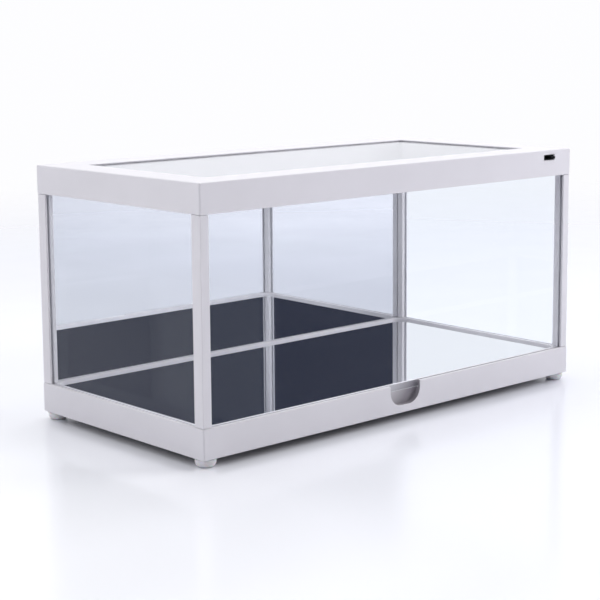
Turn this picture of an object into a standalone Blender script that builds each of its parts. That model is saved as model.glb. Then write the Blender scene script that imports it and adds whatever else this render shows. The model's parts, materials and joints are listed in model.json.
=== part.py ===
"""Lit display case for a scale model car.

A moulded base with a mirror floor carries four grooved corner posts, three clear panes and a mirror back.
A wide lid frame with a clear roof pane, two rows of LEDs, a slide switch and a power socket sits on them.
Driving dimensions are in millimetres. X runs along the case, Y to its back and Z up. A place in the case
is given by u, the distance in from the left or right face, and v, that in from the front or back face.
"""

import math

import bmesh
import bpy
from mathutils import Matrix, Vector

MM = 0.001
GAP = 0.3  # clearance between pieces that touch or nest

# The whole case
LENGTH = 355.0
WIDTH = 177.0
FOOT_HEIGHT = 5.5
BASE_HEIGHT = 20.0
LID_HEIGHT = 19.5
TOTAL_HEIGHT = 176.5
HALF_X = LENGTH / 2
HALF_Y = WIDTH / 2
BASE_BOTTOM = FOOT_HEIGHT
BASE_TOP = BASE_BOTTOM + BASE_HEIGHT
LID_BOTTOM = TOTAL_HEIGHT - LID_HEIGHT
CORNER_RADIUS = 1.2
EDGE_RADIUS = 1.0
LOWER_EDGE_RADIUS = 0.4
ARC_STEPS = 3

# Side walls of both frames: outer wall, pane groove, inner wall
GROOVE_START = 1.9
GROOVE_END = 4.0
WALL_INNER = 6.0
GROOVE_DEPTH = 5.0
PANE = 1.5
PANE_START = GROOVE_START + GAP

# Base
BASE_OPENING_RADIUS = 9.5
MIRROR_RECESS = 1.7
MIRROR_THICKNESS = 2.0
PLATE_THICKNESS = 2.5
LEDGE_WIDTH = 5.0
LEDGE_THICKNESS = 2.0
CORNER_BLOCK = 17.0
MIRROR_TOP = BASE_TOP - MIRROR_RECESS
MIRROR_BOTTOM = MIRROR_TOP - MIRROR_THICKNESS
PLATE_TOP = MIRROR_BOTTOM - GAP
PLATE_BOTTOM = PLATE_TOP - PLATE_THICKNESS
LEDGE_TOP = PLATE_BOTTOM - GAP
LEDGE_BOTTOM = LEDGE_TOP - LEDGE_THICKNESS
BASE_GROOVE_FLOOR = BASE_TOP - GROOVE_DEPTH

# Finger notch in the front of the base
NOTCH_WIDTH = 29.0
NOTCH_DEPTH = 14.7
NOTCH_RADIUS = 10.5
NOTCH_WALL = 2.5

# Posts: outer faces, inner faces, pane groove bottoms and locating pegs, as u and v
POST_OUTER = 0.4
POST_INNER_U = 7.2
POST_INNER_V = 9.2
POST_GROOVE_U = 5.0
POST_GROOVE_V = 6.7
POST_CORNER_RADIUS = 0.5
PEG_LOW = 1.6
PEG_HIGH_U = 4.6
PEG_HIGH_V = 6.2
PEG_LENGTH_BELOW = 8.0
PEG_LENGTH_ABOVE = 6.0
POST_BOTTOM = BASE_TOP + GAP
POST_TOP = LID_BOTTOM - GAP
POST_SCREW_U = (PEG_LOW + PEG_HIGH_U) / 2
POST_SCREW_V = (PEG_LOW + PEG_HIGH_V) / 2
POST_SCREW_RADIUS = 0.7
POST_SCREW_HEAD_RADIUS = 1.6
POST_SCREW_HEAD = 1.2
POST_SCREW_LENGTH = 17.0

# Feet
FOOT_INSET = 7.1
FOOT_RADIUS = 6.8
FOOT_FLAT_RADIUS = 4.0
FOOT_STEM_RADIUS = 2.2
FOOT_STEM = 5.0

# Lid
LID_RIM = 25.0
LID_OPENING_RADIUS = 2.5
ROOF_LIP = 1.0
ROOF_PANE = 2.0
ROOF_POCKET = 21.6
LID_ROOF_THICKNESS = 3.0
LID_CORNER_U = 8.5
LID_CORNER_V = 11.0
INNER_FRAME_THICKNESS = 2.0
UPSTAND = 2.0
ROOF_TOP = TOTAL_HEIGHT - ROOF_LIP - GAP
ROOF_BOTTOM = ROOF_TOP - ROOF_PANE
LID_ROOF_UNDERSIDE = TOTAL_HEIGHT - LID_ROOF_THICKNESS
INNER_BOTTOM = LID_BOTTOM + GAP
INNER_TOP = INNER_BOTTOM + INNER_FRAME_THICKNESS
PANE_LIFT = 5.5
FRONT_GROOVE_TOP = LID_BOTTOM + GROOVE_DEPTH + PANE_LIFT + 0.6
SIDE_GROOVE_TOP = LID_BOTTOM + GROOVE_DEPTH + 0.4

# Lights inside the lid
LED_COUNT = 9
LED_PITCH = 30.0
LED_SIZE = 3.0
LED_HEIGHT = 1.0
BOARD_HALF = 134.0
BOARD_THICKNESS = 1.2
BOARD_START = 10.0
BOARD_END = 18.0
WINDOW_HALF = 150.0
WINDOW_START = 9.0
WINDOW_END = 19.0
FLANGE = 1.2

# Lid screws
LID_SCREW_U = 14.0
LID_BOSS_RADIUS = 3.0
SCREW_RADIUS = 0.8
SCREW_HEAD_RADIUS = 1.9
SCREW_HEAD = 1.2
LID_SCREW_LENGTH = 9.0

# Slide switch on the lid's front face and power socket on its back face
SWITCH_X = 152.5
SWITCH_Z = TOTAL_HEIGHT - 5.5
SWITCH_WIDTH = 11.6
SWITCH_HEIGHT = 3.4
SWITCH_BODY_WIDTH = 17.0
SWITCH_BODY_DEPTH = 9.0
THIN_WALL = 2.0
KNOB_WIDTH = 4.0
KNOB_HEIGHT = 1.8
KNOB_PROUD = 2.2
KNOB_TRAVEL = 4.5
SOCKET_X = 150.0
SOCKET_Z = 166.5
SOCKET_WIDTH = 8.6
SOCKET_HEIGHT = 3.8
SOCKET_DEPTH = 7.0
SOCKET_WALL = 0.5
WIRE_RADIUS = 0.6

# The knob stands out in front, so the case lies half of that behind the origin's middle plane.
CASE_CENTRE = Vector((0.0, KNOB_PROUD / 2, 0.0))

CORNERS = (("front_left", -1, -1), ("front_right", 1, -1), ("back_left", -1, 1), ("back_right", 1, 1))


def clear_scene():
    for item in list(bpy.data.objects):
        bpy.data.objects.remove(item)


def material(name, colour, roughness, metallic=0.0, alpha=1.0):
    made = bpy.data.materials.new(name)
    made.use_nodes = True
    shader = made.node_tree.nodes["Principled BSDF"]
    shader.inputs["Base Color"].default_value = (*colour, 1.0)
    shader.inputs["Roughness"].default_value = roughness
    shader.inputs["Metallic"].default_value = metallic
    shader.inputs["Alpha"].default_value = alpha
    return made


def add_object(name, form, finish, body, origin=(0.0, 0.0, 0.0)):
    """Links a bmesh, in case millimetres, as an object whose origin is at origin, under its body's empty."""
    origin = Vector(origin)
    bmesh.ops.recalc_face_normals(form, faces=form.faces)
    bmesh.ops.transform(form, matrix=Matrix.Scale(MM, 4) @ Matrix.Translation(-origin), verts=form.verts)
    mesh = bpy.data.meshes.new(name)
    form.to_mesh(mesh)
    form.free()
    mesh.materials.append(finish)
    item = bpy.data.objects.new(name, mesh)
    bpy.context.scene.collection.objects.link(item)
    item.location = (CASE_CENTRE + origin) * MM
    if body is not None:
        item.location -= body.location
        item.parent = body
    return item


def body_empty(name, height):
    empty = bpy.data.objects.new(name, None)
    empty.location = (CASE_CENTRE + Vector((0.0, 0.0, height))) * MM
    bpy.context.scene.collection.objects.link(empty)
    return empty


def round_smooth(item, angle=35.0):
    item.data.shade_smooth()
    item.data.set_sharp_from_angle(angle=math.radians(angle))


def box_form(low, high, form=None):
    """Adds a box between two corners to a bmesh, or starts one with it."""
    form = form or bmesh.new()
    low, high = Vector(low), Vector(high)
    centre = Matrix.Translation((low + high) / 2)
    size = Matrix.Diagonal((*(high - low), 1.0))
    bmesh.ops.create_cube(form, size=1.0, matrix=centre @ size)
    return form


def stack_form(loops):
    """A closed solid through outlines that all have the same number of points."""
    form = bmesh.new()
    rings = [[form.verts.new(point) for point in loop] for loop in loops]
    for lower, upper in zip(rings, rings[1:]):
        for i in range(len(lower)):
            j = (i + 1) % len(lower)
            form.faces.new((lower[i], lower[j], upper[j], upper[i]))
    form.faces.new(reversed(rings[0]))
    form.faces.new(rings[-1])
    return form


def prism_form(outline, low, high):
    return stack_form([[(x, y, z) for x, y in outline] for z in (low, high)])


def turned_form(profile, centre, steps=24):
    """A round solid about a vertical axis. The profile is (radius, height) from bottom to top."""
    turns = [2 * math.pi * i / steps for i in range(steps)]
    return stack_form(
        [[(centre[0] + r * math.cos(a), centre[1] + r * math.sin(a), z) for a in turns] for r, z in profile]
    )


def cylinder_form(centre, radius, low, high, steps=16):
    return turned_form([(radius, low), (radius, high)], centre, steps)


def rounded_outline(half_x, half_y, radius, steps=ARC_STEPS):
    """A rectangle about the middle of the case with round corners, anticlockwise."""
    points = []
    for quarter, (sx, sy) in enumerate(((1, 1), (-1, 1), (-1, -1), (1, -1))):
        cx, cy = sx * (half_x - radius), sy * (half_y - radius)
        for i in range(steps + 1):
            a = math.pi / 2 * (quarter + i / steps)
            points.append((cx + radius * math.cos(a), cy + radius * math.sin(a)))
    return points


def inset_outline(inset, radius, steps=ARC_STEPS):
    return rounded_outline(HALF_X - inset, HALF_Y - inset, radius, steps)


def notched_outline(inset, notch_u, notch_v):
    """A rectangle inset from the case's faces, with a rectangle left out at each corner."""
    far_x, far_y = HALF_X - inset, HALF_Y - inset
    near_x, near_y = HALF_X - notch_u, HALF_Y - notch_v
    return [
        (far_x, near_y), (near_x, near_y), (near_x, far_y),
        (-near_x, far_y), (-near_x, near_y), (-far_x, near_y),
        (-far_x, -near_y), (-near_x, -near_y), (-near_x, -far_y),
        (near_x, -far_y), (near_x, -near_y), (far_x, -near_y),
    ]  # fmt: skip


def frame_form(low, high):
    """The outer block of a frame, with round upright corners, a round top edge and an eased bottom edge."""
    loops = []
    for i in range(ARC_STEPS):
        a = math.pi / 2 * i / ARC_STEPS
        inset = LOWER_EDGE_RADIUS * (1 - math.sin(a))
        loops.append((inset, low + LOWER_EDGE_RADIUS * (1 - math.cos(a))))
    loops.append((0.0, low + LOWER_EDGE_RADIUS))
    for i in range(ARC_STEPS + 1):
        a = math.pi / 2 * i / ARC_STEPS
        loops.append((EDGE_RADIUS * (1 - math.cos(a)), high - EDGE_RADIUS * (1 - math.sin(a))))
    return stack_form(
        [[(x, y, z) for x, y in inset_outline(inset, CORNER_RADIUS - inset)] for inset, z in loops]
    )


def place(sx, sy, u, v):
    """The point at u and v from the outer faces of the corner (sx, sy)."""
    return sx * (HALF_X - u), sy * (HALF_Y - v)


def corner_box(sx, sy, u_range, v_range, z_range, form=None):
    x0, y0 = place(sx, sy, u_range[0], v_range[0])
    x1, y1 = place(sx, sy, u_range[1], v_range[1])
    low = (min(x0, x1), min(y0, y1), z_range[0])
    high = (max(x0, x1), max(y0, y1), z_range[1])
    return box_form(low, high, form)


def boolean(item, form, operation, label):
    """Cuts the form from the item, or joins it on, by a modifier with a hidden tool object."""
    tool = add_object(f"{item.name}_{label}", form, item.data.materials[0], None)
    tool.hide_render = True
    tool.display_type = "WIRE"
    step = item.modifiers.new(label, "BOOLEAN")
    step.operation = operation
    step.solver = "EXACT"
    step.object = tool


def cut(item, form, label):
    boolean(item, form, "DIFFERENCE", label)


def join(item, form, label):
    boolean(item, form, "UNION", label)


def groove_forms(bottom, top, front_top):
    """Cutters for the four pane grooves of a frame, from bottom to top; the front one may reach higher."""
    along_x = HALF_X - POST_GROOVE_U + 0.1
    along_y = HALF_Y - POST_GROOVE_V + 0.1
    forms = []
    for side, reach in (("front", front_top), ("back", top)):
        y0, y1 = HALF_Y - GROOVE_END, HALF_Y - GROOVE_START
        if side == "front":
            y0, y1 = -y1, -y0
        forms.append((f"{side}_groove", box_form((-along_x, y0, bottom), (along_x, y1, reach))))
    for side, sx in (("left", -1), ("right", 1)):
        x0, x1 = sorted((sx * (HALF_X - GROOVE_END), sx * (HALF_X - GROOVE_START)))
        forms.append((f"{side}_groove", box_form((x0, -along_y, bottom), (x1, along_y, top))))
    return forms


def notch_form():
    """The U-shaped finger notch, cut from the front face to the back of the pane groove."""
    half, bottom = NOTCH_WIDTH / 2, BASE_TOP - NOTCH_DEPTH
    outline = [(half, BASE_TOP + 2.0), (-half, BASE_TOP + 2.0)]
    for sx, start in ((-1, math.pi), (1, 1.5 * math.pi)):
        for i in range(9):
            a = start + math.pi / 2 * i / 8
            x = sx * (half - NOTCH_RADIUS) + NOTCH_RADIUS * math.cos(a)
            outline.append((x, bottom + NOTCH_RADIUS * (1 + math.sin(a))))
    return stack_form([[(x, y, z) for x, z in outline] for y in (-HALF_Y - 2.0, -HALF_Y + GROOVE_END)])


def ledge_screw_places():
    """Where the base plate is screwed to its ledge, as name and (x, y)."""
    inset = WALL_INNER + LEDGE_WIDTH / 2
    places = []
    for side, sy in (("front", -1), ("back", 1)):
        for end, x in (("left", -95.0), ("right", 95.0)):
            places.append((f"plate_screw_{side}_{end}", (x, sy * (HALF_Y - inset))))
    return places


def build_base_frame(body, white):
    frame = add_object("base_frame", frame_form(BASE_BOTTOM, BASE_TOP), white, body)
    low = BASE_BOTTOM - 2.0
    hollow = notched_outline(GROOVE_START, CORNER_BLOCK, CORNER_BLOCK)
    cut(frame, prism_form(hollow, low, LEDGE_BOTTOM), "hollow")
    ledge_inner = inset_outline(WALL_INNER + LEDGE_WIDTH, BASE_OPENING_RADIUS - LEDGE_WIDTH)
    cut(frame, prism_form(ledge_inner, LEDGE_BOTTOM - 0.5, BASE_TOP), "ledge_opening")
    opening = inset_outline(WALL_INNER, BASE_OPENING_RADIUS, steps=8)
    cut(frame, prism_form(opening, LEDGE_TOP, BASE_TOP + 2.0), "opening")
    pocket_half = NOTCH_WIDTH / 2 + NOTCH_WALL
    pocket_floor = BASE_TOP - NOTCH_DEPTH - NOTCH_WALL
    pocket_low = (-pocket_half, -HALF_Y + 1.0, pocket_floor)
    join(frame, box_form(pocket_low, (pocket_half, -HALF_Y + WALL_INNER, LEDGE_TOP)), "notch_pocket")
    for label, form in groove_forms(BASE_GROOVE_FLOOR, BASE_TOP + 2.0, BASE_TOP + 2.0):
        cut(frame, form, label)
    cut(frame, notch_form(), "finger_notch")
    sockets = None
    peg_floor = POST_BOTTOM - PEG_LENGTH_BELOW - GAP
    for _, sx, sy in CORNERS:
        u_range, v_range = (PEG_LOW - GAP, PEG_HIGH_U + GAP), (PEG_LOW - GAP, PEG_HIGH_V + GAP)
        sockets = corner_box(sx, sy, u_range, v_range, (peg_floor, BASE_TOP + 2.0), sockets)
    cut(frame, sockets, "post_sockets")
    for name, sx, sy in CORNERS:
        centre = place(sx, sy, POST_SCREW_U, POST_SCREW_V)
        recess_top = BASE_BOTTOM + GAP + POST_SCREW_HEAD + GAP
        steps = [
            (POST_SCREW_HEAD_RADIUS + GAP, low),
            (POST_SCREW_HEAD_RADIUS + GAP, recess_top),
            (POST_SCREW_RADIUS + GAP, recess_top),
            (POST_SCREW_RADIUS + GAP, peg_floor + 1.0),
        ]
        cut(frame, turned_form(steps, centre, 16), f"screw_hole_{name}")
        stem_top = BASE_BOTTOM + FOOT_STEM + GAP
        stem = cylinder_form(place(sx, sy, FOOT_INSET, FOOT_INSET), FOOT_STEM_RADIUS + GAP, low, stem_top)
        cut(frame, stem, f"foot_hole_{name}")
    for name, centre in ledge_screw_places():
        hole = cylinder_form(centre, SCREW_RADIUS + GAP, LEDGE_BOTTOM - 1.0, LEDGE_TOP + 1.0, 12)
        cut(frame, hole, f"{name}_hole")
    return frame


def build_floor(body, black, mirror):
    outline = inset_outline(WALL_INNER + GAP, BASE_OPENING_RADIUS - GAP, steps=8)
    plate = add_object("base_plate", prism_form(outline, PLATE_BOTTOM, PLATE_TOP), black, body)
    for name, centre in ledge_screw_places():
        hole = cylinder_form(centre, SCREW_RADIUS + GAP, PLATE_BOTTOM - 1.0, PLATE_TOP - 0.5, 12)
        cut(plate, hole, f"{name}_hole")
    add_object("floor_mirror", prism_form(outline, MIRROR_BOTTOM, MIRROR_TOP), mirror, body)


def screw(name, centre, head_bottom, head, head_radius, shank_radius, length, steel, body):
    """A screw driven from below: its head's underside faces down, and length is its shank's."""
    top = head_bottom + head
    profile = [
        (head_radius * 0.8, head_bottom),
        (head_radius, head_bottom + head * 0.35),
        (head_radius, top),
        (shank_radius, top),
        (shank_radius, top + length - shank_radius),
        (shank_radius * 0.3, top + length),
    ]
    item = add_object(name, turned_form(profile, centre, 12), steel, body)
    round_smooth(item)


def build_base_screws(body, steel):
    for name, centre in ledge_screw_places():
        head_bottom = LEDGE_BOTTOM - GAP - SCREW_HEAD
        length = PLATE_TOP - 0.5 - GAP - (head_bottom + SCREW_HEAD)
        screw(name, centre, head_bottom, SCREW_HEAD, SCREW_HEAD_RADIUS, SCREW_RADIUS, length, steel, body)
    for name, sx, sy in CORNERS:
        centre = place(sx, sy, POST_SCREW_U, POST_SCREW_V)
        head_bottom = BASE_BOTTOM + GAP
        screw(
            f"post_screw_{name}", centre, head_bottom, POST_SCREW_HEAD, POST_SCREW_HEAD_RADIUS,
            POST_SCREW_RADIUS, POST_SCREW_LENGTH, steel, body,
        )  # fmt: skip


def build_feet(body, rubber):
    for name, sx, sy in CORNERS:
        profile = [(FOOT_FLAT_RADIUS, 0.0)]
        shoulder = FOOT_HEIGHT - GAP - 1.0
        for i in range(1, 6):
            a = math.pi / 2 * i / 5
            bulge = FOOT_RADIUS - FOOT_FLAT_RADIUS
            profile.append((FOOT_FLAT_RADIUS + bulge * math.sin(a), shoulder * (1 - math.cos(a))))
        profile += [
            (FOOT_RADIUS, FOOT_HEIGHT - GAP),
            (FOOT_STEM_RADIUS, FOOT_HEIGHT - GAP),
            (FOOT_STEM_RADIUS, FOOT_HEIGHT + FOOT_STEM),
        ]
        form = turned_form(profile, place(sx, sy, FOOT_INSET, FOOT_INSET))
        foot = add_object(f"foot_{name}", form, rubber, body)
        round_smooth(foot)


def post_outline(sx, sy):
    """The grooved section of a post: one groove faces along X and one along Y."""
    r = POST_CORNER_RADIUS
    points = []
    for cu, cv, start in (
        (POST_OUTER + r, POST_OUTER + r, math.pi),
        (POST_INNER_U - r, POST_OUTER + r, 1.5 * math.pi),
    ):
        for i in range(3):
            a = start + math.pi / 4 * i
            points.append((cu + r * math.cos(a), cv + r * math.sin(a)))
    points += [
        (POST_INNER_U, GROOVE_START), (POST_GROOVE_U, GROOVE_START), (POST_GROOVE_U, GROOVE_END),
        (POST_INNER_U, GROOVE_END),
    ]  # fmt: skip
    cu, cv = POST_INNER_U - r, POST_INNER_V - r
    points += [(cu + r * math.cos(math.pi / 4 * i), cv + r * math.sin(math.pi / 4 * i)) for i in range(3)]
    points += [
        (GROOVE_END, POST_INNER_V), (GROOVE_END, POST_GROOVE_V), (GROOVE_START, POST_GROOVE_V),
        (GROOVE_START, POST_INNER_V),
    ]  # fmt: skip
    cu = POST_OUTER + r
    points += [(cu + r * math.cos(a), cv + r * math.sin(a)) for a in (math.pi / 2, 0.75 * math.pi, math.pi)]
    return [place(sx, sy, u, v) for u, v in points]


def build_posts(body, white):
    for name, sx, sy in CORNERS:
        form = prism_form(post_outline(sx, sy), POST_BOTTOM, POST_TOP)
        post = add_object(f"post_{name}", form, white, body)
        u_range, v_range = (PEG_LOW, PEG_HIGH_U), (PEG_LOW, PEG_HIGH_V)
        lower = (POST_BOTTOM - PEG_LENGTH_BELOW, POST_BOTTOM + 1.0)
        upper = (POST_TOP - 1.0, POST_TOP + PEG_LENGTH_ABOVE)
        join(post, corner_box(sx, sy, u_range, v_range, lower), "lower_peg")
        join(post, corner_box(sx, sy, u_range, v_range, upper), "upper_peg")
        shank_top = BASE_BOTTOM + GAP + POST_SCREW_HEAD + POST_SCREW_LENGTH + GAP
        centre = place(sx, sy, POST_SCREW_U, POST_SCREW_V)
        hole = cylinder_form(centre, POST_SCREW_RADIUS + GAP, POST_BOTTOM - PEG_LENGTH_BELOW - 1.0, shank_top)
        cut(post, hole, "screw_hole")


def build_panes(base, front_body, clear, mirror):
    bottom = BASE_GROOVE_FLOOR + GAP
    top = LID_BOTTOM + GROOVE_DEPTH - GAP
    half_x = HALF_X - POST_GROOVE_U - GAP
    half_y = HALF_Y - POST_GROOVE_V - GAP
    near, far = HALF_Y - PANE_START - PANE, HALF_Y - PANE_START
    middle = (bottom + top) / 2
    front = box_form((-half_x, -far, bottom), (half_x, -near, top))
    add_object("front_pane", front, clear, front_body, (0.0, -(near + far) / 2, middle))
    back = box_form((-half_x, near, bottom), (half_x, far, top))
    add_object("back_mirror", back, mirror, base, (0.0, (near + far) / 2, middle))
    near, far = HALF_X - PANE_START - PANE, HALF_X - PANE_START
    left = box_form((-far, -half_y, bottom), (-near, half_y, top))
    add_object("left_pane", left, clear, base, (-(near + far) / 2, 0.0, middle))
    right = box_form((near, -half_y, bottom), (far, half_y, top))
    add_object("right_pane", right, clear, base, ((near + far) / 2, 0.0, middle))


def lid_screw_places():
    """Where the lid's inner frame is screwed on, as name and (x, y)."""
    places = [(f"lid_screw_{name}", place(sx, sy, LID_SCREW_U, LID_SCREW_U)) for name, sx, sy in CORNERS]
    for side, sx in (("left", -1), ("right", 1)):
        places.append((f"lid_screw_{side}", (sx * (HALF_X - LID_SCREW_U), 0.0)))
    return places


def build_lid_frame(body, white):
    frame = add_object("lid_frame", frame_form(LID_BOTTOM, TOTAL_HEIGHT), white, body)
    low = LID_BOTTOM - 2.0
    channel = notched_outline(WALL_INNER, LID_CORNER_U, LID_CORNER_V)
    cut(frame, prism_form(channel, low, LID_ROOF_UNDERSIDE), "channel")
    cut(frame, prism_form(inset_outline(ROOF_POCKET, 2.0), low, ROOF_TOP + GAP), "roof_pocket")
    cut(frame, prism_form(inset_outline(LID_RIM, LID_OPENING_RADIUS), low, TOTAL_HEIGHT + 2.0), "opening")
    for label, form in groove_forms(low, SIDE_GROOVE_TOP, FRONT_GROOVE_TOP):
        cut(frame, form, label)
    sockets = None
    for _, sx, sy in CORNERS:
        u_range, v_range = (PEG_LOW - GAP, PEG_HIGH_U + GAP), (PEG_LOW - GAP, PEG_HIGH_V + GAP)
        peg_roof = POST_TOP + PEG_LENGTH_ABOVE + GAP
        sockets = corner_box(sx, sy, u_range, v_range, (low, peg_roof), sockets)
    cut(frame, sockets, "post_sockets")
    for name, centre in lid_screw_places():
        boss = cylinder_form(centre, LID_BOSS_RADIUS, INNER_TOP + GAP, LID_ROOF_UNDERSIDE + 1.0)
        join(frame, boss, f"{name}_boss")
        hole_top = INNER_TOP + LID_SCREW_LENGTH
        cut(frame, cylinder_form(centre, SCREW_RADIUS + GAP, INNER_TOP - 1.0, hole_top, 12), f"{name}_hole")
    half, tall = SWITCH_WIDTH / 2 + GAP, SWITCH_HEIGHT / 2 + GAP
    slot_low = (SWITCH_X - half, -HALF_Y - 1.0, SWITCH_Z - tall)
    slot_high = (SWITCH_X + half, -HALF_Y + WALL_INNER + 1.0, SWITCH_Z + tall)
    cut(frame, box_form(slot_low, slot_high), "switch_slot")
    half = SWITCH_BODY_WIDTH / 2 + GAP
    seat_low = (SWITCH_X - half, -HALF_Y + THIN_WALL, SWITCH_Z - tall)
    seat_high = (SWITCH_X + half, -HALF_Y + WALL_INNER + 1.0, LID_ROOF_UNDERSIDE - 0.5)
    cut(frame, box_form(seat_low, seat_high), "switch_seat")
    half, tall = SOCKET_WIDTH / 2 + GAP, SOCKET_HEIGHT / 2 + GAP
    hole_low = (SOCKET_X - half, HALF_Y - WALL_INNER - 1.0, SOCKET_Z - tall)
    cut(frame, box_form(hole_low, (SOCKET_X + half, HALF_Y + 1.0, SOCKET_Z + tall)), "power_hole")
    return frame


def build_inner_frame(body, white):
    """The cover under the lid's channel, with an upstand that carries the roof pane."""
    outline = notched_outline(WALL_INNER + GAP, LID_CORNER_U + GAP, LID_CORNER_V + GAP)
    frame = add_object("lid_inner_frame", prism_form(outline, INNER_BOTTOM, INNER_TOP), white, body)
    upstand = inset_outline(LID_RIM - UPSTAND, LID_OPENING_RADIUS + UPSTAND)
    join(frame, prism_form(upstand, INNER_BOTTOM, ROOF_BOTTOM - GAP), "upstand")
    opening = inset_outline(LID_RIM, LID_OPENING_RADIUS)
    cut(frame, prism_form(opening, INNER_BOTTOM - 2.0, ROOF_BOTTOM + 2.0), "opening")
    for side, sy in (("front", -1), ("back", 1)):
        y0, y1 = sorted((sy * (HALF_Y - WINDOW_START), sy * (HALF_Y - WINDOW_END)))
        window = box_form((-WINDOW_HALF, y0, INNER_BOTTOM - 2.0), (WINDOW_HALF, y1, INNER_TOP + 2.0))
        cut(frame, window, f"{side}_light_window")
    for name, centre in lid_screw_places():
        steps = [
            (SCREW_HEAD_RADIUS + GAP, INNER_BOTTOM - 2.0),
            (SCREW_HEAD_RADIUS + GAP, INNER_BOTTOM + 1.0),
            (SCREW_RADIUS + GAP, INNER_BOTTOM + 1.0),
            (SCREW_RADIUS + GAP, INNER_TOP + 2.0),
        ]
        cut(frame, turned_form(steps, centre, 16), f"{name}_hole")


def build_lid_screws(body, steel):
    for name, centre in lid_screw_places():
        head_bottom = INNER_BOTTOM + 1.0 - GAP - SCREW_HEAD
        length = INNER_TOP + LID_SCREW_LENGTH - GAP - (head_bottom + SCREW_HEAD)
        screw(name, centre, head_bottom, SCREW_HEAD, SCREW_HEAD_RADIUS, SCREW_RADIUS, length, steel, body)


def build_lights(body, board_finish, diffuser_finish):
    for side, sy in (("front", -1), ("back", 1)):
        y0, y1 = sorted((sy * (HALF_Y - WINDOW_START - GAP), sy * (HALF_Y - WINDOW_END + GAP)))
        half = WINDOW_HALF - GAP
        lens = add_object(
            f"light_diffuser_{side}",
            box_form((-half, y0, INNER_BOTTOM + 0.2), (half, y1, INNER_TOP + GAP + 0.5)),
            diffuser_finish,
            body,
        )
        flange_low = (-half - FLANGE, y0 - FLANGE, INNER_TOP + GAP)
        join(lens, box_form(flange_low, (half + FLANGE, y1 + FLANGE, INNER_TOP + GAP + 1.0)), "flange")
        y0, y1 = sorted((sy * (HALF_Y - BOARD_START), sy * (HALF_Y - BOARD_END)))
        top = LID_ROOF_UNDERSIDE - GAP
        board_form = box_form((-BOARD_HALF, y0, top - BOARD_THICKNESS), (BOARD_HALF, y1, top))
        board = add_object(f"led_board_{side}", board_form, board_finish, body)
        leds, middle = None, (y0 + y1) / 2
        for i in range(LED_COUNT):
            x = (i - (LED_COUNT - 1) / 2) * LED_PITCH
            low = (x - LED_SIZE / 2, middle - LED_SIZE / 2, top - BOARD_THICKNESS - LED_HEIGHT)
            leds = box_form(low, (x + LED_SIZE / 2, middle + LED_SIZE / 2, top - BOARD_THICKNESS / 2), leds)
        join(board, leds, "leds")


def build_switch(lid, knob_body, black):
    front = -HALF_Y
    half, tall = SWITCH_BODY_WIDTH / 2, SWITCH_HEIGHT / 2
    body_low = (SWITCH_X - half, front + THIN_WALL + GAP, SWITCH_Z - tall)
    body_high = (SWITCH_X + half, front + THIN_WALL + GAP + SWITCH_BODY_DEPTH, SWITCH_Z + tall)
    switch = add_object("switch_body", box_form(body_low, body_high), black, lid)
    half = SWITCH_WIDTH / 2
    face_low = (SWITCH_X - half, front + GAP, SWITCH_Z - tall)
    face_high = (SWITCH_X + half, front + THIN_WALL + GAP + 1.0, SWITCH_Z + tall)
    join(switch, box_form(face_low, face_high), "face")
    slot_half, slot_tall = (KNOB_WIDTH + KNOB_TRAVEL) / 2 + GAP, KNOB_HEIGHT / 2 + GAP
    slot_low = (SWITCH_X - slot_half, front - 1.0, SWITCH_Z - slot_tall)
    slot_high = (SWITCH_X + slot_half, front + THIN_WALL + 3.0, SWITCH_Z + slot_tall)
    cut(switch, box_form(slot_low, slot_high), "knob_slot")
    x = SWITCH_X + KNOB_TRAVEL / 2
    low = (x - KNOB_WIDTH / 2, front - KNOB_PROUD, SWITCH_Z - KNOB_HEIGHT / 2)
    high = (x + KNOB_WIDTH / 2, front + THIN_WALL + 3.0 - GAP, SWITCH_Z + KNOB_HEIGHT / 2)
    knob = add_object("switch_knob", box_form(low, high), black, knob_body, (x, front, SWITCH_Z))
    ease = knob.modifiers.new("eased_edges", "BEVEL")
    ease.width = 0.35 * MM
    ease.segments = 2


def build_power_socket(body, steel):
    back = HALF_Y
    half, tall = SOCKET_WIDTH / 2, SOCKET_HEIGHT / 2
    low = (SOCKET_X - half, back - GAP - SOCKET_DEPTH, SOCKET_Z - tall)
    high = (SOCKET_X + half, back - GAP, SOCKET_Z + tall)
    socket = add_object("power_socket", box_form(low, high), steel, body)
    half, tall = half - SOCKET_WALL, tall - SOCKET_WALL
    mouth_low = (SOCKET_X - half, back - SOCKET_DEPTH + 1.0, SOCKET_Z - tall)
    cut(socket, box_form(mouth_low, (SOCKET_X + half, back + 1.0, SOCKET_Z + tall)), "mouth")
    tongue_low = (SOCKET_X - half + 0.9, back - SOCKET_DEPTH, SOCKET_Z - 0.4)
    join(socket, box_form(tongue_low, (SOCKET_X + half - 0.9, back - 1.3, SOCKET_Z + 0.4)), "tongue")


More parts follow.
